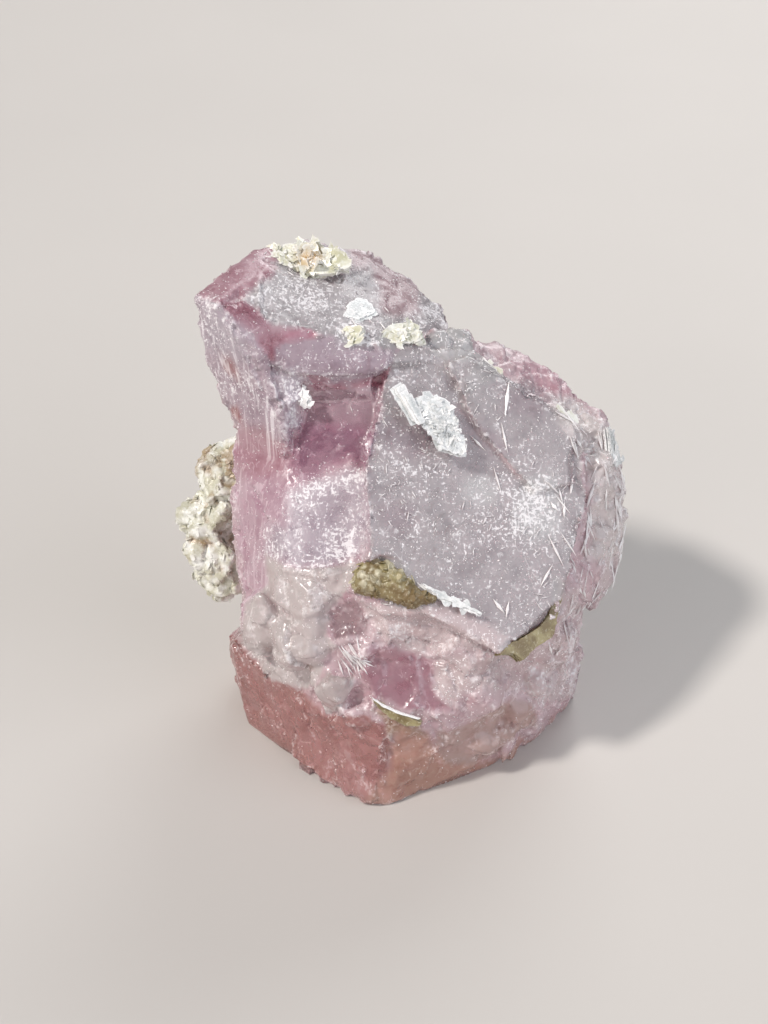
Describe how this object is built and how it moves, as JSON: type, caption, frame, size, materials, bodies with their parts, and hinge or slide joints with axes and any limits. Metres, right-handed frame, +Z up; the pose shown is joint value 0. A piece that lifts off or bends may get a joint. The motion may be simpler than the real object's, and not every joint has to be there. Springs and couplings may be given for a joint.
{
  "type": "apatite crystal",
  "caption": "Pale pink, see-through apatite crystal with a leaning upper lobe and a flat front face, standing on its broken base, with books and flakes of muscovite mica grown in and on it.",
  "frame": {"origin": "on the flat broken base, under the middle of the crystal", "axes": "+Z up from the base to the tip of the upper lobe, -Y towards the front with the flat face, +X to the right"},
  "size_m": [0.0434, 0.0324, 0.0458],
  "materials": {
    "apatite": "frosted pale pink, clear in places",
    "silver_mica": "pearly silver-white leaves",
    "straw_mica": "pearly straw-yellow leaves",
    "olive_mica": "pearly olive-brown leaves",
    "clump_mica": "crumbly greenish grey leaves"
  },
  "bodies": {
    "root": {"apatite_crystal": "apatite", "mica_clump": "clump_mica", "top_mica_book": "straw_mica", "saddle_mica_left": "silver_mica", "saddle_mica_right": "straw_mica", "ridge_mica": "straw_mica", "silver_mica_plate": "silver_mica", "rim_mica_upper": "straw_mica", "rim_mica_side": "silver_mica", "olive_mica_lump": "olive_mica", "white_mica_blade": "silver_mica", "olive_mica_sliver": "olive_mica", "front_mica_blade": "olive_mica"}
  },
  "joints": []
}
